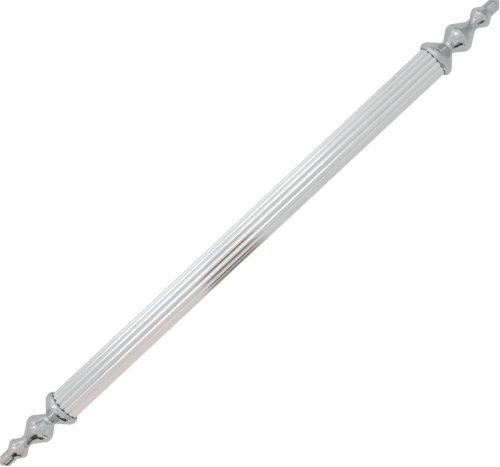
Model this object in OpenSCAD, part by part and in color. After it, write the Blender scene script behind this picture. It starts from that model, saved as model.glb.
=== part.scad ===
// A metal wand lying along X, centred on the origin. A reeded tube carries a turned finial at each
// end: a bell cap, a large knob, a small knob and a pointed tip, all strung on one threaded stud that
// screws into a plug pinned inside the tube. Threads are drawn as plain cylinders. Units: millimetres.

/* [Tube] */
// Diameter over the crowns of the reeds
tube_d = 16; // [15.5:0.1:16.2]
// Distance between the mouths of the two caps
tube_span = 242; // [150:0.1:300]
// Number of reeds around the tube
reed_count = 14; // [13:1:16]
// Radius of one reed's crown
reed_r = 1.65; // [1.55:0.05:1.8]
// Diameter of the tube's smooth bore
tube_bore_d = 13; // [12.6:0.1:13.2]

/* [Cap] */
// Length of the bell cap, from its mouth to its nose
cap_length = 9; // [8.6:0.1:10]
// Greatest diameter of the cap, at its rolled rim
rim_d = 19.2; // [18.8:0.1:20]
// Radius of the rolled rim in front of its widest place, towards the nose
rim_r = 3.6; // [3.2:0.1:3.8]
// Radius of the rolled rim behind its widest place, towards the mouth
rim_back_r = 2; // [1.6:0.1:2.4]
// Radial gap between the cap's mouth and the reeds
mouth_gap = 0.2; // [0.1:0.05:0.3]
// Width of the flat lip around the mouth
lip_w = 0.7; // [0.4:0.05:0.8]
// Diameter of the nose, where the large knob sits
nose_d = 7; // [6.6:0.1:7.4]

/* [Knobs and tip] */
// Length of the large knob
large_length = 16.1; // [15.5:0.1:17]
// Radius at which the large knob's two slopes would meet, before rounding
large_peak_r = 8.5; // [8:0.1:9]
// Length of the small knob
small_length = 9.9; // [9.5:0.1:10.5]
// Radius at which the small knob's two slopes would meet, before rounding
small_peak_r = 5.95; // [5.6:0.05:6.3]
// Diameter of the waist between the two knobs
waist_d = 5.9; // [5.6:0.1:6.4]
// Length of the tip
tip_length = 7.3; // [7:0.1:8]
// Diameter of the tip's straight part
tip_d = 6.8; // [6.4:0.1:7.2]
// Radius of the tip's blunt point
tip_nose_r = 1.4; // [1:0.1:1.8]

/* [Inside] */
// Diameter of the threaded stud
stud_d = 4; // [3:0.5:4]
// Thread pitch of the stud
pitch = 0.7; // [0.5:0.1:0.8]
// Whole turns that hold the stud in the plug
plug_turns = 12; // [8:1:14]
// Whole turns that hold the tip on the stud
tip_turns = 5; // [3:1:5]
// Length of the plug inside the tube
plug_length = 14; // [12:1:20]
// Thickness of the plug's flange over the end of the tube
flange_t = 0.6; // [0.5:0.1:0.8]
// Thickness of the fibre washer
washer_t = 0.6; // [0.4:0.1:0.8]
// Diameter of the pin that fixes the plug in the tube
pin_d = 1.2; // [1:0.1:1.4]

/* [Hidden] */
$fn = 96;

LEFT = -1;
RIGHT = 1;
ARC_STEP = 9;          // degrees between the points of an arc
EDGE = 0.12;           // chamfer that shows as a fine seam where two pieces meet
STUD_CHAMFER = 0.5;
THREAD_PLAY = 0.05;    // radial play of a tapped hole over the stud
CLEARANCE = 0.15;      // radial play of a plain hole over the stud
HOLE_END = 0.4;        // room left beyond the stud at the bottom of the tip
PIN_DEPTH = 3;         // how far the pin reaches into the plug

tube_r = tube_d / 2;
bore_r = tube_bore_d / 2;
reed_centre_r = tube_r - reed_r;
reed_half_angle = 180 / reed_count;
valley_r = reed_centre_r * cos(reed_half_angle)
    + sqrt(pow(reed_r, 2) - pow(reed_centre_r * sin(reed_half_angle), 2));
stud_r = stud_d / 2;

// Heights along an end, from the mouth of its cap outwards
skirt = 2.2;                             // how far the cap covers the tube
flange_top = skirt + flange_t;
cap_floor = flange_top + washer_t;
large_seat = cap_length;
small_seat = large_seat + large_length;
tip_seat = small_seat + small_length;
stud_bottom = flange_top - plug_turns * pitch;
stud_top = tip_seat + tip_turns * pitch;
pin_height = skirt / 2;
pin_r = pin_d / 2;
pin_bottom_r = bore_r - PIN_DEPTH;

// The rolled rim is two arcs that meet at its widest place: one from the lip, one to the straight flank
mouth_r = tube_r + mouth_gap;
rim_back_centre_r = rim_d / 2 - rim_back_r;
lip_angle = acos((mouth_r + lip_w - rim_back_centre_r) / rim_back_r);
rim_height = rim_back_r * sin(lip_angle);
flank_angle = 46.4;

// Points of an arc about a centre, from one angle to another
function arc(centre, r, from, to) =
    let (steps = ceil(abs(to - from) / ARC_STEP))
    [for (i = [0:steps]) let (a = from + (to - from) * i / steps)
        centre + r * [cos(a), sin(a)]];

function unit(v) = v / norm(v);

// Points of an arc that rounds corner b of the path a, b, c
function round_corner(a, b, c, r) =
    let (
        u = unit(a - b),
        w = unit(c - b),
        half = acos(u * w) / 2,
        centre = b + unit(u + w) * r / sin(half),
        first = b + u * r / tan(half) - centre,
        last = b + w * r / tan(half) - centre,
        from = atan2(first[1], first[0]),
        turn = atan2(last[1], last[0]) - from,
        sweep = turn > 180 ? turn - 360 : turn < -180 ? turn + 360 : turn
    )
    arc(centre, r, from, from + sweep);

// A path of [radius, height, rounding] corners, with every corner that has a rounding made an arc
function rounded_path(corners) =
    [for (i = [0:len(corners) - 1])
        let (p = corners[i], here = [p[0], p[1]])
        each p[2] == 0 ? [here] : round_corner(
            [corners[i - 1][0], corners[i - 1][1]], here,
            [corners[i + 1][0], corners[i + 1][1]], p[2])];

// Carries a piece drawn along +Z, from the mouth of a cap, to one end of the wand
module at_end(side) {
    rotate([0, side * 90, 0]) translate([0, 0, tube_span / 2]) children();
}

module plain_hole(r, length) {
    translate([0, 0, -1]) cylinder(r = r, h = length + 2);
}

module pin_hole(side) {
    at_end(side) translate([0, 0, pin_height]) rotate([0, -side * 90, 0])
        translate([0, 0, pin_bottom_r]) cylinder(r = pin_r, h = tube_r);
}

module reeded_tube() {
    length = tube_span + 2 * skirt;
    color("gainsboro") difference() {
        rotate([0, 90, 0]) linear_extrude(length, center = true) difference() {
            union() {
                circle((bore_r + valley_r) / 2);
                for (i = [0:reed_count - 1])
                    rotate((i + 0.5) * 360 / reed_count) translate([reed_centre_r, 0]) circle(reed_r);
            }
            circle(bore_r);
        }
        for (side = [LEFT, RIGHT]) pin_hole(side);
    }
}

module plug(side) {
    color("darkkhaki") difference() {
        at_end(side) difference() {
            union() {
                translate([0, 0, skirt - plug_length]) cylinder(r = bore_r, h = plug_length);
                translate([0, 0, skirt]) cylinder(r = valley_r - 0.2, h = flange_t);
            }
            translate([0, 0, skirt - plug_length]) plain_hole(stud_r + THREAD_PLAY, plug_length + flange_t);
        }
        pin_hole(side);
    }
}

module plug_pin(side) {
    at_end(side) color("dimgray") translate([0, 0, pin_height]) rotate([0, -side * 90, 0])
        translate([0, 0, pin_bottom_r]) cylinder(r = pin_r, h = valley_r - EDGE - pin_bottom_r);
}

module washer() {
    color("firebrick") translate([0, 0, flange_top]) difference() {
        cylinder(r = tube_r - EDGE, h = washer_t);
        plain_hole(stud_r + CLEARANCE, washer_t);
    }
}

module cap() {
    outline = concat(
        [[0, 0]],
        arc([rim_back_centre_r, rim_height], rim_back_r, -lip_angle, 0),
        arc([rim_d / 2 - rim_r, rim_height], rim_r, ARC_STEP, flank_angle),
        [[nose_d / 2, cap_length - EDGE], [nose_d / 2 - EDGE, cap_length], [0, cap_length]]
    );
    color("silver") difference() {
        rotate_extrude() polygon(outline);
        translate([0, 0, -1]) cylinder(r = mouth_r, h = cap_floor + 1);
        plain_hole(stud_r + CLEARANCE, cap_length);
    }
}

module stud() {
    length = stud_top - stud_bottom;
    color("darkgray") translate([0, 0, stud_bottom]) rotate_extrude() polygon([
        [0, 0], [stud_r - STUD_CHAMFER, 0], [stud_r, STUD_CHAMFER],
        [stud_r, length - STUD_CHAMFER], [stud_r - STUD_CHAMFER, length], [0, length]
    ]);
}

module large_knob() {
    outline = rounded_path([
        [0, 0, 0],
        [nose_d / 2 - EDGE, 0, 0],
        [nose_d / 2, EDGE, 0],
        [nose_d / 2, 1, 1.6],
        [large_peak_r, 7.2, 3.5],
        [waist_d / 2, large_length - 1, 3.3],
        [waist_d / 2, large_length - EDGE / 2, 0],
        [waist_d / 2 - EDGE, large_length, 0],
        [0, large_length, 0]
    ]);
    color("silver") translate([0, 0, large_seat]) difference() {
        rotate_extrude() polygon(outline);
        plain_hole(stud_r, large_length);
    }
}

module small_knob() {
    outline = rounded_path([
        [0, 0, 0],
        [waist_d / 2 - EDGE, 0, 0],
        [waist_d / 2, EDGE, 0],
        [waist_d / 2, 1.3, 3.4],
        [small_peak_r, 5.3, 2],
        [tip_d / 2, small_length - 0.5, 0.8],
        [tip_d / 2, small_length - EDGE, 0],
        [tip_d / 2 - EDGE, small_length, 0],
        [0, small_length, 0]
    ]);
    color("silver") translate([0, 0, small_seat]) difference() {
        rotate_extrude() polygon(outline);
        plain_hole(stud_r + CLEARANCE, small_length);
    }
}

module tip() {
    tip_r = tip_d / 2;
    point_centre = tip_length - tip_nose_r;
    cone_top = point_centre + tip_nose_r * sqrt(2);
    sides = rounded_path([
        [0, 0, 0],
        [tip_r - EDGE, 0, 0],
        [tip_r, EDGE, 0],
        [tip_r, cone_top - tip_r, 1],
        [0, cone_top, 0]
    ]);
    below_point = [for (p = sides) if (p[1] < point_centre + tip_nose_r * sin(45)) p];
    color("silver") translate([0, 0, tip_seat]) difference() {
        rotate_extrude() polygon(concat(below_point, arc([0, point_centre], tip_nose_r, 45, 90)));
        translate([0, 0, -1]) cylinder(r = stud_r + THREAD_PLAY, h = tip_turns * pitch + HOLE_END + 1);
    }
}

reeded_tube();
plug(LEFT);  // left_plug
plug_pin(LEFT);  // left_plug_pin
at_end(LEFT) washer();  // left_washer
at_end(LEFT) cap();  // left_cap
at_end(LEFT) stud();  // left_stud
at_end(LEFT) large_knob();  // left_large_knob
at_end(LEFT) small_knob();  // left_small_knob
at_end(LEFT) tip();  // left_tip
plug(RIGHT);  // right_plug
plug_pin(RIGHT);  // right_plug_pin
at_end(RIGHT) washer();  // right_washer
at_end(RIGHT) cap();  // right_cap
at_end(RIGHT) stud();  // right_stud
at_end(RIGHT) large_knob();  // right_large_knob
at_end(RIGHT) small_knob();  // right_small_knob
at_end(RIGHT) tip();  // right_tip
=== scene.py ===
"""Looks for a bright plated stage wand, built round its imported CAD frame.

The wand lies along X. Each end is drawn once, along +Z from the mouth of its cap outwards, and is
then turned to the left or the right. Outlines are (radius, height) points in millimetres, and the
finished meshes are in metres, as the frame is.
"""

import math

import bmesh
import bpy
from mathutils import Matrix, Vector


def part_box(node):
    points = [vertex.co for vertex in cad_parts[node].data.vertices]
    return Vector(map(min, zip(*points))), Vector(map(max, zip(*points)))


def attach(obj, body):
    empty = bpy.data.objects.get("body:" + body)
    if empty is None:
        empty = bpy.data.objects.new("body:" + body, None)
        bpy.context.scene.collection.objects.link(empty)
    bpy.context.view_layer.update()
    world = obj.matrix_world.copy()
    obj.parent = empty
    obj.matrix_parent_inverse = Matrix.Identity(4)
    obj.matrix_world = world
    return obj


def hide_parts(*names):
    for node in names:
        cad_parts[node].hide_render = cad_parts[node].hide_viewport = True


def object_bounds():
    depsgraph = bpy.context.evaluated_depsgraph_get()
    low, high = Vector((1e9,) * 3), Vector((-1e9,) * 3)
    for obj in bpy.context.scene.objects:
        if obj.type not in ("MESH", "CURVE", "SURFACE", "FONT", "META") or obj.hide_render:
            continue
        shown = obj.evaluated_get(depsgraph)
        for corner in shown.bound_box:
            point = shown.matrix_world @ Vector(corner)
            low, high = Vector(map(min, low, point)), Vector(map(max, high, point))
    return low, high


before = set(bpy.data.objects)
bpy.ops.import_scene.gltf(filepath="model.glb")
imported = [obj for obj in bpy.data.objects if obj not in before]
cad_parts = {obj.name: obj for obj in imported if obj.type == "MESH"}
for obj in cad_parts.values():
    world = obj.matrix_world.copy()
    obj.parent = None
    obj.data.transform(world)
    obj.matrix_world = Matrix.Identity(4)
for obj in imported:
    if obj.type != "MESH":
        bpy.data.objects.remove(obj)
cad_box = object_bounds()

MM = 0.001
SIDES = {"left": -1, "right": 1}


# ------------------------------------------------------------------ sizes that the frame gives


def inner_end(node):
    """Height at which a node of the right end begins, above the wand's middle, in millimetres."""
    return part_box(node)[0].x / MM


def outer_end(node):
    """Height at which a node of the right end stops, above the wand's middle, in millimetres."""
    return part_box(node)[1].x / MM


def radius(node):
    """Radius of a round node that lies on the wand's axis, in millimetres."""
    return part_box(node)[1].y / MM


MOUTH = inner_end("right_cap")
CAP_NOSE = outer_end("right_cap") - MOUTH
LARGE_SEAT = inner_end("right_large_knob") - MOUTH
LARGE_LENGTH = outer_end("right_large_knob") - inner_end("right_large_knob")
SMALL_SEAT = inner_end("right_small_knob") - MOUTH
SMALL_LENGTH = outer_end("right_small_knob") - inner_end("right_small_knob")
TIP_SEAT = inner_end("right_tip") - MOUTH
TIP_LENGTH = outer_end("right_tip") - inner_end("right_tip")
TUBE_END = outer_end("reeded_tube") - MOUTH
PLUG_BOTTOM = inner_end("right_plug") - MOUTH
FLANGE_TOP = outer_end("right_plug") - MOUTH
WASHER_TOP = outer_end("right_washer") - MOUTH
STUD_BOTTOM = inner_end("right_stud") - MOUTH
STUD_TOP = outer_end("right_stud") - MOUTH
PIN_HEIGHT = (inner_end("right_plug_pin") + outer_end("right_plug_pin")) / 2 - MOUTH

RIM_R = radius("right_cap")
FLANGE_R = radius("right_plug")
WASHER_R = radius("right_washer")
STUD_R = radius("right_stud")
TIP_R = radius("right_tip")
PIN_R = radius("right_plug_pin")
PIN_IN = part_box("right_plug_pin")[0].z / MM
PIN_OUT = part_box("right_plug_pin")[1].z / MM

# ------------------------------------------------------------------ sizes of the finer shapes

REEDS = 14
REED_R = 1.65
TUBE_R = 8.0
BORE_R = 6.5
VALLEY_FILLET = 0.2
MOUTH_R = 8.2
LIP = 0.7
RIM_BACK_R = 2.0
RIM_FRONT_R = 3.6
FLANK_ANGLE = 46.4
NOSE_R = 3.5
WAIST_R = 2.95
LARGE_PEAK_R = 8.5
SMALL_PEAK_R = 5.95
TIP_NOSE_R = 1.4
EDGE = 0.12       # chamfer that shows as a fine seam where two pieces meet
SEAM = 0.02       # gap under the tip, so that it turns without rubbing on the small knob

# Corners of the knobs and the tip: the height above the piece's seat, and the rounding
NOSE_NECK = (1, 1.6)
LARGE_PEAK = (7.2, 3.5)
LARGE_WAIST = (LARGE_LENGTH - 1, 3.3)
SMALL_WAIST = (1.3, 3.4)
SMALL_PEAK = (5.3, 2)
SMALL_NECK = (SMALL_LENGTH - 0.5, 0.8)
TIP_SHOULDER_ROUND = 1

PITCH = 0.7
CREST_WIDTH = 0.125    # share of the pitch that the thread's flat crest takes
FLANK_WIDTH = 0.3125   # share that each of its flanks takes
THREAD_PLAY = 0.05     # radial play of a tapped hole over the stud
THREAD_DEPTH = 0.38
THREAD_CHAMFER = 0.5
HOLE_CHAMFER = 0.3     # countersink of a tapped hole
CLEARANCE = 0.15       # radial play of a plain hole over the stud
TIP_HOLE = 3.9
DRILL_RISE = 0.01      # height of the shallow cone at the bottom of the tip's hole

PLUG_RELIEF = 0.25     # groove under the plug's flange
PLUG_CHAMFER = 0.6
FLANGE_CHAMFER = 0.2
WASHER_ROUND = 0.15
PIN_CHAMFER = 0.15
TOOL_REACH = 2         # how far the tool that cuts the pins' holes reaches past the pin
LIP_BREAK = 0.05       # broken inner edge of the cap's mouth

ROUND = 144       # faces around a turned piece
ARC_STEP = 3.0    # degrees between the points of an arc
RUN_STEP = 0.5    # longest straight run in an outline
TUBE_RUN = 5.0    # longest run along the tube
SHARP = 30.0      # degrees at which an edge is a corner
WELD = 1e-4       # distance at which points are one


# ------------------------------------------------------------------ outlines


def polar(r, degrees):
    """The point at this distance and angle from the origin."""
    a = math.radians(degrees)
    return (r * math.cos(a), r * math.sin(a))


def arc(centre, r, start, end, step=ARC_STEP):
    """Points of an arc about a centre, from one angle to another in degrees."""
    steps = max(2, math.ceil(abs(end - start) / step))
    points = [polar(r, start + (end - start) * i / steps) for i in range(steps + 1)]
    return [(centre[0] + x, centre[1] + y) for x, y in points]


def round_corner(a, b, c, r):
    """Points of the arc that rounds corner b of the path a, b, c."""
    a, b, c = Vector(a), Vector(b), Vector(c)
    back = (a - b).normalized()
    ahead = (c - b).normalized()
    half = back.angle(ahead) / 2
    centre = b + (back + ahead).normalized() * r / math.sin(half)
    first = b + back * r / math.tan(half) - centre
    last = b + ahead * r / math.tan(half) - centre
    start = math.degrees(math.atan2(first.y, first.x))
    turn = math.degrees(math.atan2(last.y, last.x)) - start
    return arc(centre, r, start, start + (turn + 180) % 360 - 180)


def rounded(corners):
    """An outline from (radius, height, rounding) corners, with every rounding made an arc."""
    points = []
    for i, (r, z, rounding) in enumerate(corners):
        if rounding:
            points += round_corner(corners[i - 1][:2], (r, z), corners[i + 1][:2], rounding)
        else:
            points.append((r, z))
    return points


def lifted(points, height):
    """The same outline, higher up."""
    return [(r, z + height) for r, z in points]


def with_short_runs(points, longest=RUN_STEP):
    """The same outline with its straight runs divided, so that smooth shading stays true on them."""
    fine = [points[0]]
    for (r0, z0), (r1, z1) in zip(points, points[1:]):
        parts = max(1, math.ceil(math.hypot(r1 - r0, z1 - z0) / longest))
        for i in range(1, parts + 1):
            fine.append((r0 + (r1 - r0) * i / parts, z0 + (z1 - z0) * i / parts))
    return fine


# ------------------------------------------------------------------ surfaces


class Surface:
    """The points and faces of one piece, in millimetres, gathered before it becomes a mesh."""

    def __init__(self):
        self.points = []
        self.faces = []

    def grid(self, columns, climb=0):
        """Faces between columns of points around the piece. The last column joins the first, which is
        that many rows further on where a thread climbs."""
        first, rows = len(self.points), len(columns[0])
        for column in columns:
            self.points += column
        for j in range(len(columns)):
            wraps = j == len(columns) - 1
            here = first + j * rows
            beside = first + climb if wraps else here + rows
            for i in range(rows - 1 - climb):
                self.faces.append((here + i, here + i + 1, beside + i + 1, beside + i))

    def turn(self, outline):
        """Turns an outline of (radius, height) points about the axis."""
        fine = with_short_runs(outline)
        columns = []
        for j in range(ROUND):
            a = 2 * math.pi * j / ROUND
            columns.append([(r * math.cos(a), r * math.sin(a), z) for r, z in fine])
        self.grid(columns)

    def thread(self, start, end, crest_r, root_r, end_r):
        """A screw thread that runs out at both ends into a chamfer, which ends in a circle of end_r."""
        steps = [
            (0, crest_r), (CREST_WIDTH, crest_r),
            (CREST_WIDTH + FLANK_WIDTH, root_r), (1 - FLANK_WIDTH, root_r),
        ]
        outward = 1 if crest_r > root_r else -1
        first = math.floor(start / PITCH) - 1
        turns = math.ceil((end - start) / PITCH) + 2
        columns = []
        for j in range(ROUND):
            a = 2 * math.pi * j / ROUND
            column = []
            for k in range(turns + 1):
                for phase, r in steps:
                    z = min(max((first + k + phase + j / ROUND) * PITCH, start), end)
                    chamfer_r = end_r + outward * min(z - start, end - z)
                    r = outward * min(outward * r, outward * chamfer_r)
                    column.append((r * math.cos(a), r * math.sin(a), z))
            columns.append(column)
        self.grid(columns, climb=len(steps))

    def mesh(self, name, matrix):
        """The welded mesh, with every face outward, smooth faces and sharp corners."""
        bm = bmesh.new()
        verts = [bm.verts.new(p) for p in self.points]
        for f in self.faces:
            bm.faces.new([verts[i] for i in f])
        bmesh.ops.remove_doubles(bm, verts=bm.verts, dist=WELD)
        bmesh.ops.dissolve_degenerate(bm, edges=bm.edges, dist=WELD)
        bm.transform(matrix)
        return finished_mesh(bm, name)


def finished_mesh(bm, name):
    """The mesh of these faces, smooth but for the edges that turn sharply."""
    bmesh.ops.recalc_face_normals(bm, faces=bm.faces)
    for face in bm.faces:
        face.smooth = True
    for edge in bm.edges:
        edge.smooth = len(edge.link_faces) == 2 and edge.calc_face_angle() < math.radians(SHARP)
    mesh = bpy.data.meshes.new(name)
    bm.to_mesh(mesh)
    bm.free()
    return mesh


def at_end(side):
    """Takes a piece drawn in millimetres along +Z, from the cap's mouth, to one end of the wand."""
    turn = Matrix.Rotation(SIDES[side] * math.pi / 2, 4, "Y")
    return Matrix.Scale(MM, 4) @ turn @ Matrix.Translation((0, 0, MOUTH))


def place(mesh, body, node, material):
    """The piece made of this mesh. It rides on a body, stands for a CAD node and has a material."""
    piece = bpy.data.objects.new(mesh.name, mesh)
    bpy.context.scene.collection.objects.link(piece)
    mesh.materials.append(material)
    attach(piece, body)
    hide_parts(node)
    return piece


def cut(mesh, cutter):
    """The mesh with another one cut out of it."""
    whole = bpy.data.objects.new("whole", mesh)
    tool = bpy.data.objects.new("tool", cutter)
    for o in (whole, tool):
        bpy.context.scene.collection.objects.link(o)
    boolean = whole.modifiers.new("cut", "BOOLEAN")
    boolean.operation = "DIFFERENCE"
    boolean.solver = "EXACT"
    boolean.object = tool
    bpy.context.view_layer.update()
    shape = whole.evaluated_get(bpy.context.evaluated_depsgraph_get())
    bm = bmesh.new()
    bm.from_mesh(shape.to_mesh())
    shape.to_mesh_clear()
    name = mesh.name
    for o in (whole, tool):
        bpy.data.objects.remove(o)
    bpy.data.meshes.remove(mesh)
    bpy.data.meshes.remove(cutter)
    return finished_mesh(bm, name)


# ------------------------------------------------------------------ the tube


def reed_section():
    """The tube's outer outline around the axis: round reeds with a small fillet in every valley."""
    pitch_angle = 360 / REEDS
    centre_r = TUBE_R - REED_R
    half_gap = centre_r * math.sin(math.radians(pitch_angle / 2))
    reach = REED_R + VALLEY_FILLET
    lean = math.degrees(math.asin(half_gap / reach))
    fillet_r = centre_r * math.cos(math.radians(pitch_angle / 2)) + math.sqrt(reach**2 - half_gap**2)
    crown = lean + pitch_angle / 2
    points = []
    for i in range(REEDS):
        reed = (i + 0.5) * pitch_angle
        valley = reed + pitch_angle / 2
        points += arc(polar(centre_r, reed), REED_R, reed - crown, reed + crown, step=5)
        inward = valley + 180
        fillet = arc(polar(fillet_r, valley), VALLEY_FILLET, inward + lean, inward - lean, step=18)
        points += fillet[1:-1]
    return points


def reeded_tube():
    """The drawn tube: reeds outside, a smooth bore, bevelled ends and a hole for each plug's pin."""
    half = MOUTH + TUBE_END
    runs = with_short_runs([(0, -half + EDGE), (0, half - EDGE)], TUBE_RUN)
    bevelled = 1 - EDGE / TUBE_R
    outer = [(-half, bevelled)] + [(x, 1) for _, x in runs] + [(half, bevelled)]
    columns = []
    for z, y in reed_section():
        a = math.atan2(z, y)
        inside = (BORE_R * math.cos(a), BORE_R * math.sin(a))
        column = [(x, y * scale, z * scale) for x, scale in outer]
        column += [(x, *inside) for x in (half, 0, -half)]
        column.append(column[0])
        columns.append(column)
    surface = Surface()
    surface.grid(columns)
    mesh = surface.mesh("reeded_tube_plated", Matrix.Scale(MM, 4))
    for side in SIDES:
        mesh = cut(mesh, pin_hole(side))
    return mesh


# ------------------------------------------------------------------ the pieces of one end


def pin_shape(name, side, out, r, chamfer=0):
    """A pin that stands along Z at one end of the wand, from its inner end to the height out."""
    surface = Surface()
    surface.turn([
        (0, PIN_IN), (r - chamfer, PIN_IN), (r, PIN_IN + chamfer),
        (r, out - chamfer), (r - chamfer, out), (0, out),
    ])
    beside = Matrix.Translation((SIDES[side] * (MOUTH + PIN_HEIGHT), 0, 0))
    return surface.mesh(name, Matrix.Scale(MM, 4) @ beside)


def pin_hole(side):
    """The tool that cuts the pin's hole in the tube and the plug."""
    return pin_shape("pin_hole", side, PIN_OUT + TOOL_REACH, PIN_R)


def plug(side):
    """The brass plug pinned in the tube. Its flange covers the tube's end."""
    surface = Surface()
    hole_r = STUD_R + THREAD_PLAY
    mouth_r = hole_r + HOLE_CHAMFER
    relief_r = BORE_R - PLUG_RELIEF
    surface.turn([
        (mouth_r, FLANGE_TOP), (FLANGE_R - FLANGE_CHAMFER, FLANGE_TOP),
        (FLANGE_R, FLANGE_TOP - FLANGE_CHAMFER), (FLANGE_R, TUBE_END),
        (relief_r, TUBE_END), (relief_r, TUBE_END - PLUG_RELIEF),
        (BORE_R, TUBE_END - 2 * PLUG_RELIEF), (BORE_R, PLUG_BOTTOM + PLUG_CHAMFER),
        (BORE_R - PLUG_CHAMFER, PLUG_BOTTOM), (mouth_r, PLUG_BOTTOM),
    ])
    surface.thread(PLUG_BOTTOM, FLANGE_TOP, hole_r - THREAD_DEPTH, hole_r, mouth_r)
    mesh = surface.mesh(f"{side}_plug_turned", at_end(side))
    return cut(mesh, pin_hole(side))


def washer(side):
    """The fibre washer between the plug's flange and the floor of the cap."""
    surface = Surface()
    hole_r = STUD_R + CLEARANCE
    surface.turn(rounded([
        (hole_r, FLANGE_TOP, 0),
        (WASHER_R, FLANGE_TOP, WASHER_ROUND), (WASHER_R, WASHER_TOP, WASHER_ROUND),
        (hole_r, WASHER_TOP, 0), (hole_r, FLANGE_TOP, 0),
    ]))
    return surface.mesh(f"{side}_washer_fibre", at_end(side))


def cap(side):
    """The bell cap: a rolled rim, a straight flank, a nose, and the hollow that covers the tube."""
    back_centre = RIM_R - RIM_BACK_R
    lip_angle = math.degrees(math.acos((MOUTH_R + LIP - back_centre) / RIM_BACK_R))
    rim_height = RIM_BACK_R * math.sin(math.radians(lip_angle))
    hole_r = STUD_R + CLEARANCE
    outline = [(MOUTH_R + LIP_BREAK, 0)]
    outline += arc((back_centre, rim_height), RIM_BACK_R, -lip_angle, 0)
    outline += arc((RIM_R - RIM_FRONT_R, rim_height), RIM_FRONT_R, 0, FLANK_ANGLE)[1:]
    outline += [(NOSE_R, CAP_NOSE - EDGE), (NOSE_R - EDGE, CAP_NOSE), (hole_r, CAP_NOSE)]
    outline += [(hole_r, WASHER_TOP), (MOUTH_R, WASHER_TOP)]
    outline += [(MOUTH_R, LIP_BREAK), (MOUTH_R + LIP_BREAK, 0)]
    surface = Surface()
    surface.turn(outline)
    return surface.mesh(f"{side}_cap_turned", at_end(side))


def stud(side):
    """The threaded stud that holds the end together."""
    root_r = STUD_R - THREAD_DEPTH
    end_r = STUD_R - THREAD_CHAMFER
    surface = Surface()
    surface.thread(STUD_BOTTOM, STUD_TOP, STUD_R, root_r, end_r)
    surface.turn([(0, STUD_BOTTOM), (end_r, STUD_BOTTOM)])
    surface.turn([(0, STUD_TOP), (end_r, STUD_TOP)])
    return surface.mesh(f"{side}_stud_threaded", at_end(side))


def large_knob(side):
    """The large double-cone knob. It is locked to the stud, so its hole has no play."""
    surface = Surface()
    surface.turn(lifted(rounded([
        (STUD_R, 0, 0), (NOSE_R - EDGE, 0, 0), (NOSE_R, EDGE, 0), (NOSE_R, *NOSE_NECK),
        (LARGE_PEAK_R, *LARGE_PEAK),
        (WAIST_R, *LARGE_WAIST), (WAIST_R, LARGE_LENGTH - EDGE / 2, 0),
        (WAIST_R - EDGE, LARGE_LENGTH, 0), (STUD_R, LARGE_LENGTH, 0), (STUD_R, 0, 0),
    ]), LARGE_SEAT))
    return surface.mesh(f"{side}_large_knob_turned", at_end(side))


def small_knob(side):
    """The small double-cone knob, which the tip clamps against the large one."""
    hole_r = STUD_R + CLEARANCE
    surface = Surface()
    surface.turn(lifted(rounded([
        (hole_r, 0, 0), (WAIST_R - EDGE, 0, 0), (WAIST_R, EDGE, 0), (WAIST_R, *SMALL_WAIST),
        (SMALL_PEAK_R, *SMALL_PEAK),
        (TIP_R, *SMALL_NECK), (TIP_R, SMALL_LENGTH - EDGE, 0),
        (TIP_R - EDGE, SMALL_LENGTH, 0), (hole_r, SMALL_LENGTH, 0), (hole_r, 0, 0),
    ]), SMALL_SEAT))
    return surface.mesh(f"{side}_small_knob_turned", at_end(side))


def tip(side):
    """The pointed tip, a nut that closes the end. Its thread is cut from below."""
    point_centre = TIP_LENGTH - TIP_NOSE_R
    cone_top = point_centre + TIP_NOSE_R * math.sqrt(2)
    nose_start = point_centre + TIP_NOSE_R * math.sin(math.radians(45))
    hole_r = STUD_R + THREAD_PLAY
    mouth_r = hole_r + HOLE_CHAMFER
    sides = rounded([
        (mouth_r, SEAM, 0), (TIP_R - EDGE, SEAM, 0), (TIP_R, EDGE, 0),
        (TIP_R, cone_top - TIP_R, TIP_SHOULDER_ROUND), (0, cone_top, 0),
    ])
    outline = [(r, z) for r, z in sides if z < nose_start]
    outline += arc((0, point_centre), TIP_NOSE_R, 45, 90)
    surface = Surface()
    surface.turn(lifted(outline, TIP_SEAT))
    surface.thread(TIP_SEAT + SEAM, TIP_SEAT + TIP_HOLE, hole_r - THREAD_DEPTH, hole_r, mouth_r)
    surface.turn(lifted([(mouth_r, TIP_HOLE), (0, TIP_HOLE + DRILL_RISE)], TIP_SEAT))
    return surface.mesh(f"{side}_tip_turned", at_end(side))


# ------------------------------------------------------------------ shader nodes


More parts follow.
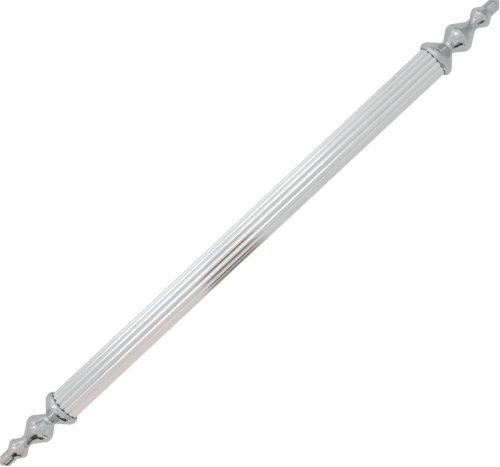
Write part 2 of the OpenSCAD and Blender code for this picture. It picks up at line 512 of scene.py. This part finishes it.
class Graph:
    """Short calls that add shader nodes to a tree and give back the socket that holds the result."""

    def __init__(self, tree):
        self.tree = tree

    def node(self, kind, inputs=(), **settings):
        node = self.tree.nodes.new("ShaderNode" + kind)
        for name, value in settings.items():
            setattr(node, name, value)
        for key, value in dict(inputs).items():
            self.feed(node.inputs[key], value)
        return node

    def feed(self, socket, value):
        if isinstance(value, bpy.types.NodeSocket):
            self.tree.links.new(value, socket)
        else:
            socket.default_value = value

    def calc(self, operation, a, b=0.0):
        return self.node("Math", {0: a, 1: b}, operation=operation).outputs[0]

    def vector(self, operation, a, b):
        return self.node("VectorMath", {0: a, 1: b}, operation=operation).outputs["Vector"]

    def ease(self, value, low, high, start=0.0, end=1.0):
        """Start below low, end above high, and a smooth step between."""
        inputs = {"Value": value, "From Min": low, "From Max": high, "To Min": start, "To Max": end}
        return self.node("MapRange", inputs, interpolation_type="SMOOTHSTEP").outputs["Result"]

    def band(self, value, low, high, soft):
        """1 between low and high, falling to 0 over the soft edges outside them."""
        rise = self.ease(value, low - soft, low)
        fall = self.ease(value, high, high + soft, 1.0, 0.0)
        return self.calc("MULTIPLY", rise, fall)

    def mix(self, share, a, b, blend="MIX"):
        node = self.node("Mix", data_type="RGBA", blend_type=blend)
        for socket, value in zip((node.inputs[0], node.inputs[6], node.inputs[7]), (share, a, b)):
            self.feed(socket, value)
        return node.outputs[2]

    def noise(self, point, scale, detail=2.0, roughness=0.5):
        inputs = {"Vector": point, "Scale": scale, "Detail": detail, "Roughness": roughness}
        return self.node("TexNoise", inputs).outputs["Fac"]

    def bump(self, height, depth, normal=None):
        """A bump whose height of 0 to 1 stands for depth in millimetres."""
        inputs = {"Height": height, "Distance": depth * MM, "Strength": 1.0}
        if normal:
            inputs["Normal"] = normal
        return self.node("Bump", inputs).outputs["Normal"]


class Finish(Graph):
    """A material, with the place on the piece in millimetres and the distance from the wand's axis."""

    def __init__(self, name, metallic, specular=0.5):
        self.material = bpy.data.materials.new(name)
        self.material.use_nodes = True
        super().__init__(self.material.node_tree)
        self.bsdf = self.tree.nodes["Principled BSDF"]
        self.bsdf.inputs["Metallic"].default_value = metallic
        self.bsdf.inputs["Specular IOR Level"].default_value = specular
        coordinates = self.node("TexCoord").outputs["Object"]
        self.point = self.vector("MULTIPLY", coordinates, [1 / MM] * 3)
        self.x, self.y, z = self.node("SeparateXYZ", {0: self.point}).outputs
        self.off_axis = self.calc("SQRT", self.calc("ADD", self.square(self.y), self.square(z)))

    def square(self, value):
        return self.calc("MULTIPLY", value, value)

    def spotted(self, colour, pattern, low, high, share, tint):
        """The colour, with up to this share of a tint where the pattern rises from low to high."""
        return self.mix(self.ease(pattern, low, high, 0.0, share), colour, tint)

    def along(self, x, across):
        """The place, stretched or squeezed along the wand and across it."""
        return self.vector("MULTIPLY", self.point, (x, across, across))

    def wear(self, colour, roughness, normal):
        """The material, once it has its colour, roughness and bumps."""
        self.feed(self.bsdf.inputs["Base Color"], colour)
        self.feed(self.bsdf.inputs["Roughness"], roughness)
        self.feed(self.bsdf.inputs["Normal"], normal)
        return self.material


# ------------------------------------------------------------------ materials

BRIGHT = (0.825, 0.83, 0.835, 1)    # the tube's plating
PAINTED_WARM_REFLECTION = (0.95, 0.885, 0.87, 1)      # the faint pink of a warm reflection, painted on its left half
CHROME = (0.66, 0.675, 0.68, 1)     # the finials' plating
PAINTED_TIP_REFLECTION = (0.64, 0.60, 0.57, 1)     # a warm reflection, painted towards the left tip
TARNISH = (0.40, 0.385, 0.37, 1)
BRASS = (0.72, 0.52, 0.22, 1)
BRASS_BLOOM = (0.42, 0.27, 0.12, 1)
STUD_STEEL = (0.62, 0.63, 0.64, 1)
STUD_DULL = (0.40, 0.41, 0.42, 1)
PIN_STEEL = (0.40, 0.40, 0.41, 1)
PIN_DULL = (0.24, 0.24, 0.25, 1)
FIBRE = (0.20, 0.035, 0.02, 1)
FIBRE_FLECK = (0.34, 0.08, 0.045, 1)
FIBRE_DARK = (0.12, 0.02, 0.015, 1)


def plated_tube():
    """Bright plating over a drawn tube: fine lines along the reeds, duller in the valleys, and a
    faint pink reflection painted on its -Y side, over part of its left half."""
    f = Finish("plated_tube", metallic=1.0)
    valley = f.ease(f.off_axis, 7.2, 7.5, 1.0, 0.0)
    smudges = f.noise(f.along(0.02, 0.12), 1.0, detail=3)
    lines = f.noise(f.along(0.03, 4.0), 1.0, detail=3)
    dust = f.noise(f.point, 2.2, detail=4, roughness=0.7)
    # Painted reflection: a warm pink tint on the tube's -Y side, left of its middle, for the warm
    # surroundings it mirrors.
    warm_reflection_mask = f.calc("MULTIPLY", f.ease(f.x, -50, -20, 1.0, 0.0), f.ease(f.y, -4, 2, 1.0, 0.0))
    colour = f.mix(warm_reflection_mask, BRIGHT, PAINTED_WARM_REFLECTION)
    colour = f.spotted(colour, smudges, 0.35, 0.75, 0.08, TARNISH)
    colour = f.mix(f.calc("MULTIPLY", valley, 0.12), colour, TARNISH)
    colour = f.spotted(colour, dust, 0.62, 0.75, 0.15, TARNISH)
    roughness = f.ease(smudges, 0.3, 0.8, 0.07, 0.13)
    roughness = f.calc("ADD", roughness, f.calc("MULTIPLY", valley, 0.2))
    return f.wear(colour, roughness, f.bump(lines, 0.004))


def plated_finial():
    """Bright plating over turned metal: fine rings, a soft ripple, and a dull waist and point."""
    f = Finish("plated_finial", metallic=1.0)
    rings = f.noise(f.along(9.0, 0.05), 1.0, detail=2)
    ripple = f.noise(f.point, 0.45, detail=2)
    smudges = f.noise(f.point, 0.16, detail=3)
    dust = f.noise(f.point, 2.6, detail=4, roughness=0.7)
    waist = f.ease(f.off_axis, 2.7, 3.8, 1.0, 0.0)
    # Painted reflection: a warm beige tint towards the left tip, for the warm surroundings it mirrors.
    colour = f.mix(f.ease(f.x, -164, -140, 0.8, 0.0), CHROME, PAINTED_TIP_REFLECTION)
    colour = f.spotted(colour, smudges, 0.35, 0.75, 0.4, TARNISH)
    colour = f.mix(f.calc("MULTIPLY", waist, 0.35), colour, TARNISH)
    colour = f.spotted(colour, dust, 0.62, 0.75, 0.3, TARNISH)
    roughness = f.ease(smudges, 0.3, 0.8, 0.05, 0.12)
    roughness = f.calc("ADD", roughness, f.calc("MULTIPLY", waist, 0.08))
    normal = f.bump(rings, 0.0008)
    normal = f.bump(ripple, 0.07, normal)
    return f.wear(colour, roughness, normal)


def brass():
    """Turned brass with fine tool rings and a brown bloom."""
    f = Finish("brass_plug", metallic=1.0)
    rings = f.noise(f.along(7.0, 0.1), 1.0, detail=2)
    bloom = f.noise(f.point, 0.5, detail=4, roughness=0.6)
    colour = f.spotted(BRASS, bloom, 0.4, 0.75, 0.7, BRASS_BLOOM)
    return f.wear(colour, f.ease(bloom, 0.3, 0.8, 0.24, 0.42), f.bump(rings, 0.01))


def steel(name, colour, dull):
    """Bright steel with faint scratches and grey patches."""
    f = Finish(name, metallic=1.0)
    scratches = f.noise(f.along(6.0, 0.8), 1.0, detail=3)
    patches = f.noise(f.point, 0.7, detail=3)
    colour = f.spotted(colour, patches, 0.4, 0.75, 0.6, dull)
    return f.wear(colour, f.ease(patches, 0.3, 0.8, 0.22, 0.36), f.bump(scratches, 0.006))


def fibre():
    """Dark red vulcanised fibre: short flecks and a matt, slightly fuzzy face."""
    f = Finish("fibre_washer", metallic=0.0, specular=0.3)
    flecks = f.noise(f.along(1.2, 5.0), 1.0, detail=5, roughness=0.7)
    patches = f.noise(f.point, 0.8, detail=3)
    colour = f.spotted(FIBRE, flecks, 0.4, 0.7, 1.0, FIBRE_FLECK)
    colour = f.spotted(colour, patches, 0.5, 0.8, 0.4, FIBRE_DARK)
    return f.wear(colour, f.ease(flecks, 0.3, 0.8, 0.62, 0.8), f.bump(flecks, 0.03))


# ------------------------------------------------------------------ the wand

tube_plating = plated_tube()
finial_plating = plated_finial()
brass_finish = brass()
stud_finish = steel("steel_stud", STUD_STEEL, STUD_DULL)
pin_finish = steel("steel_pin", PIN_STEEL, PIN_DULL)
fibre_finish = fibre()

place(reeded_tube(), "tube", "reeded_tube", tube_plating)

for side in SIDES:
    pin = pin_shape(f"{side}_plug_pin_steel", side, PIN_OUT, PIN_R, PIN_CHAMFER)
    place(plug(side), "tube", f"{side}_plug", brass_finish)
    place(pin, "tube", f"{side}_plug_pin", pin_finish)
    place(washer(side), f"{side}_cap_body", f"{side}_washer", fibre_finish)
    place(cap(side), f"{side}_cap_body", f"{side}_cap", finial_plating)
    place(stud(side), f"{side}_finial_body", f"{side}_stud", stud_finish)
    knob = large_knob(side)
    place(knob, f"{side}_finial_body", f"{side}_large_knob", finial_plating)
    knob = small_knob(side)
    place(knob, f"{side}_small_knob_body", f"{side}_small_knob", finial_plating)
    place(tip(side), f"{side}_tip_body", f"{side}_tip", finial_plating)

# ------------------------------------------------------------------ camera

LENS = 73.6
SENSOR = 36
CAMERA_PLACE = (14.8, -0.42, 490)    # millimetres along the wand, beside it and above it
LEAN = -11.2      # degrees that the camera leans about the wand, so that it looks into a valley
TILT = 1.58       # degrees that it looks back towards the left end
ROLL = -43.03     # degrees that it turns, so that the wand runs up to the right


def rotation(degrees, axis):
    """A turn about one of the world's axes."""
    return Matrix.Rotation(math.radians(degrees), 4, axis)


def add_camera():
    """A camera above the wand, leaning about it, that sees it from end to end."""
    data = bpy.data.cameras.new("camera")
    data.sensor_width = SENSOR
    data.lens = LENS
    data.clip_start = 0.01
    data.clip_end = 20
    camera = bpy.data.objects.new("camera", data)
    camera.matrix_world = (
        rotation(LEAN, "X")
        @ Matrix.Translation(Vector(CAMERA_PLACE) * MM)
        @ rotation(TILT, "Y")
        @ rotation(ROLL, "Z")
    )
    bpy.context.scene.collection.objects.link(camera)
    bpy.context.scene.camera = camera


add_camera()

# ------------------------------------------------------------------ floor


def flat_panel(name, width, length, matrix, material):
    """A flat rectangle, facing its own +Z, that isn't part of the wand."""
    corners = [(-width / 2, -length / 2, 0), (width / 2, -length / 2, 0),
               (width / 2, length / 2, 0), (-width / 2, length / 2, 0)]
    mesh = bpy.data.meshes.new(name)
    mesh.from_pydata(corners, [], [(0, 1, 2, 3)])
    mesh.materials.append(material)
    panel = bpy.data.objects.new(name, mesh)
    panel.matrix_world = matrix
    bpy.context.scene.collection.objects.link(panel)
    return panel


def grey(level):
    return (level, level, level, 1)


FLOOR_Z = cad_box[0].z
FLOOR_SIZE = 6
CAMERA_GREY = grey(0.95)     # what the camera sees of the floor and of the room
FLOOR_GLOW = 0.5             # light that the floor adds for the camera only
FLOOR_SHEEN = 0.15           # light that it adds in reflections, near the wand's middle


def floor_material():
    """A pale floor. It glows to the camera, and in reflections only near the wand's middle, on its
    +Y side."""
    material = bpy.data.materials.new("pale_floor")
    material.use_nodes = True
    g = Graph(material.node_tree)
    seen = g.node("LightPath").outputs["Is Camera Ray"]
    near = g.node("BsdfDiffuse", {"Color": CAMERA_GREY})
    glow = g.node("Emission", {"Color": grey(1), "Strength": FLOOR_GLOW})
    bright = g.node("AddShader", {0: near.outputs[0], 1: glow.outputs[0]})
    x, y, _ = g.node("SeparateXYZ", {0: g.node("TexCoord").outputs["Object"]}).outputs
    lit = g.ease(y, -0.01, 0.03, 0.0, FLOOR_SHEEN)
    lit = g.calc("MULTIPLY", lit, g.band(x, -0.07, 0.06, 0.05))
    sheet = g.node("BsdfDiffuse", {"Color": grey(0.9)})
    sheen = g.node("Emission", {"Color": grey(1), "Strength": lit})
    far = g.node("AddShader", {0: sheet.outputs[0], 1: sheen.outputs[0]})
    both = g.node("MixShader", {0: seen, 1: far.outputs[0], 2: bright.outputs[0]})
    g.feed(g.tree.nodes["Material Output"].inputs["Surface"], both.outputs[0])
    return material


flat_panel(
    "floor", FLOOR_SIZE, FLOOR_SIZE, Matrix.Translation((0, 0, FLOOR_Z)), floor_material()
)

# ------------------------------------------------------------------ light


def leaning(x, y, z):
    """A place in metres, from millimetres in the frame that leans with the camera."""
    return rotation(LEAN, "X").to_3x3() @ Vector((x, y, z)) * MM


def soft_light(name, spot, size, power):
    """A square soft light, aimed at the wand. Reflections leave it out, as the cards stand for it."""
    data = bpy.data.lights.new(name, "AREA")
    data.shape = "RECTANGLE"
    data.size = size
    data.size_y = size
    data.energy = power
    light = bpy.data.objects.new(name, data)
    light.location = spot
    light.rotation_euler = (-spot).to_track_quat("-Z", "Y").to_euler()
    light.visible_glossy = False
    bpy.context.scene.collection.objects.link(light)


def glowing(name, colour, flecks, grain, soft, veil=False):
    """A glow in two colours that fades out over the soft edges of a panel. A veil adds its glow to
    what is behind it."""
    material = bpy.data.materials.new(name)
    material.use_nodes = True
    g = Graph(material.node_tree)
    generated = g.node("TexCoord").outputs["Generated"]
    u, v, _ = g.node("SeparateXYZ", {0: generated}).outputs
    inside = g.calc("MULTIPLY", g.band(u, soft, 1 - soft, soft), g.band(v, soft, 1 - soft, soft))
    patches = g.ease(g.noise(generated, grain, detail=3), 0.5, 0.62)
    shade = g.mix(patches, (*colour, 1), (*flecks, 1))
    glow = g.node("Emission", {"Color": shade, "Strength": 1.0}).outputs[0]
    clear = g.node("BsdfTransparent").outputs[0]
    if veil:
        glow = g.node("AddShader", {0: clear, 1: glow}).outputs[0]
    shader = g.node("MixShader", {0: inside, 1: clear, 2: glow}).outputs[0]
    g.feed(g.tree.nodes["Material Output"].inputs["Surface"], shader)
    return material


def card(name, spot, facing, width, length, material):
    """A panel that shows only in reflections, as a window or a sleeve beside the wand does. Its
    place is in millimetres, in the frame that leans with the camera."""
    turn = Vector(facing).to_track_quat("Z", "Y").to_matrix().to_4x4()
    matrix = rotation(LEAN, "X") @ Matrix.Translation(Vector(spot) * MM) @ turn
    panel = flat_panel(name, width * MM, length * MM, matrix, material)
    panel.visible_camera = False
    panel.visible_diffuse = False
    panel.visible_shadow = False


def studio_world():
    """A mottled grey room, a little brighter towards +Y. The camera sees it plain."""
    world = bpy.data.worlds.new("studio")
    world.use_nodes = True
    world.node_tree.nodes.clear()
    g = Graph(world.node_tree)
    generated = g.node("TexCoord").outputs["Generated"]
    turned = g.node(
        "VectorRotate", {"Vector": generated, "Angle": math.radians(-LEAN)}, rotation_type="X_AXIS"
    )
    direction = turned.outputs["Vector"]
    _, y, _ = g.node("SeparateXYZ", {0: direction}).outputs
    mottle = g.noise(direction, 5.0, detail=4)
    level = g.ease(y, -0.2, 0.3, 0.68, 0.81)
    level = g.calc("MULTIPLY", level, g.ease(mottle, 0.35, 0.65, 0.84, 1.16))
    colour = g.node("CombineColor", {0: level, 1: level, 2: level}).outputs[0]
    seen = g.node("LightPath").outputs["Is Camera Ray"]
    colour = g.mix(seen, colour, CAMERA_GREY)
    background = g.node("Background", {"Color": colour, "Strength": 1.0})
    g.feed(g.node("OutputWorld").inputs["Surface"], background.outputs[0])
    bpy.context.scene.world = world


# Each glow: its two colours, the grain of their pattern, and the soft share of the panel's width
GLOWS = {
    "pane": ((1.9, 1.93, 1.95), (2.6, 2.65, 2.7), 3.0, 0.15),
    "sheet": ((0.15, 0.15, 0.16), (0.24, 0.24, 0.25), 3.0, 0.35, True),
    "arm": ((0.16, 0.115, 0.09), (0.26, 0.18, 0.14), 2.0, 0.2),
    "shade": ((0.30, 0.23, 0.18), (0.36, 0.29, 0.24), 2.0, 0.15),
    "wrist": ((0.92, 0.78, 0.68), (0.8, 0.62, 0.5), 2.0, 0.3),
    "clutter": ((0.04, 0.028, 0.024), (0.75, 0.68, 0.6), 4.0, 0.2),
    "bag": ((0.02, 0.018, 0.018), (0.45, 0.42, 0.4), 3.0, 0.12),
    "backdrop": ((0.36, 0.38, 0.41), (0.46, 0.49, 0.52), 2.0, 0.5),
}

# Each card: its place, the way it faces, its width and length, and its glow
CARDS = {
    "pane_card": ((41, 541, 953), (0, -0.5, -0.87), 230, 230, "pane"),
    "middle_pane_card": ((-208, 650, 817), (0.2, -0.6, -0.77), 260, 230, "pane"),
    "far_pane_card": ((-590, 568, 600), (0.65, -0.52, -0.55), 220, 200, "pane"),
    "sheet_card": ((-20, 190, 200), (0, -190, -200), 340, 420, "sheet"),
    "low_sheet_card": ((-25, 170, 40), (0, -1, 0), 320, 160, "sheet"),
    "arm_card": ((-34, -300, 150), (0, 1, 0), 66, 420, "arm"),
    "arm_shadow": ((-15, -110, -31), (0, -0.194, 0.981), 46, 190, "shade"),
    "wrist_card": ((-34, -170, 450), (0, 1, 0), 80, 200, "wrist"),
    "clutter_card": ((-358, -120, 70), (1, 0.4, 0), 320, 300, "clutter"),
    "bag_card": ((-345, -404, 150), (0.7, 0.7, 0), 230, 250, "bag"),
    "backdrop_card": ((310, 60, 60), (-1, 0, 0), 420, 440, "backdrop"),
    "side_card": ((290, 300, 120), (-0.5, -1, 0), 340, 380, "backdrop"),
}

LIGHT_SIZE = 0.6
LIGHT_POWER = 0.5

studio_world()
glows = {name: glowing(f"{name}_glow", *look) for name, look in GLOWS.items()}
for name, (spot, facing, width, length, glow) in CARDS.items():
    card(name, spot, facing, width, length, glows[glow])
soft_light("overhead", leaning(-226, 300, 720), LIGHT_SIZE, LIGHT_POWER)

bpy.context.scene.view_settings.view_transform = "Standard"
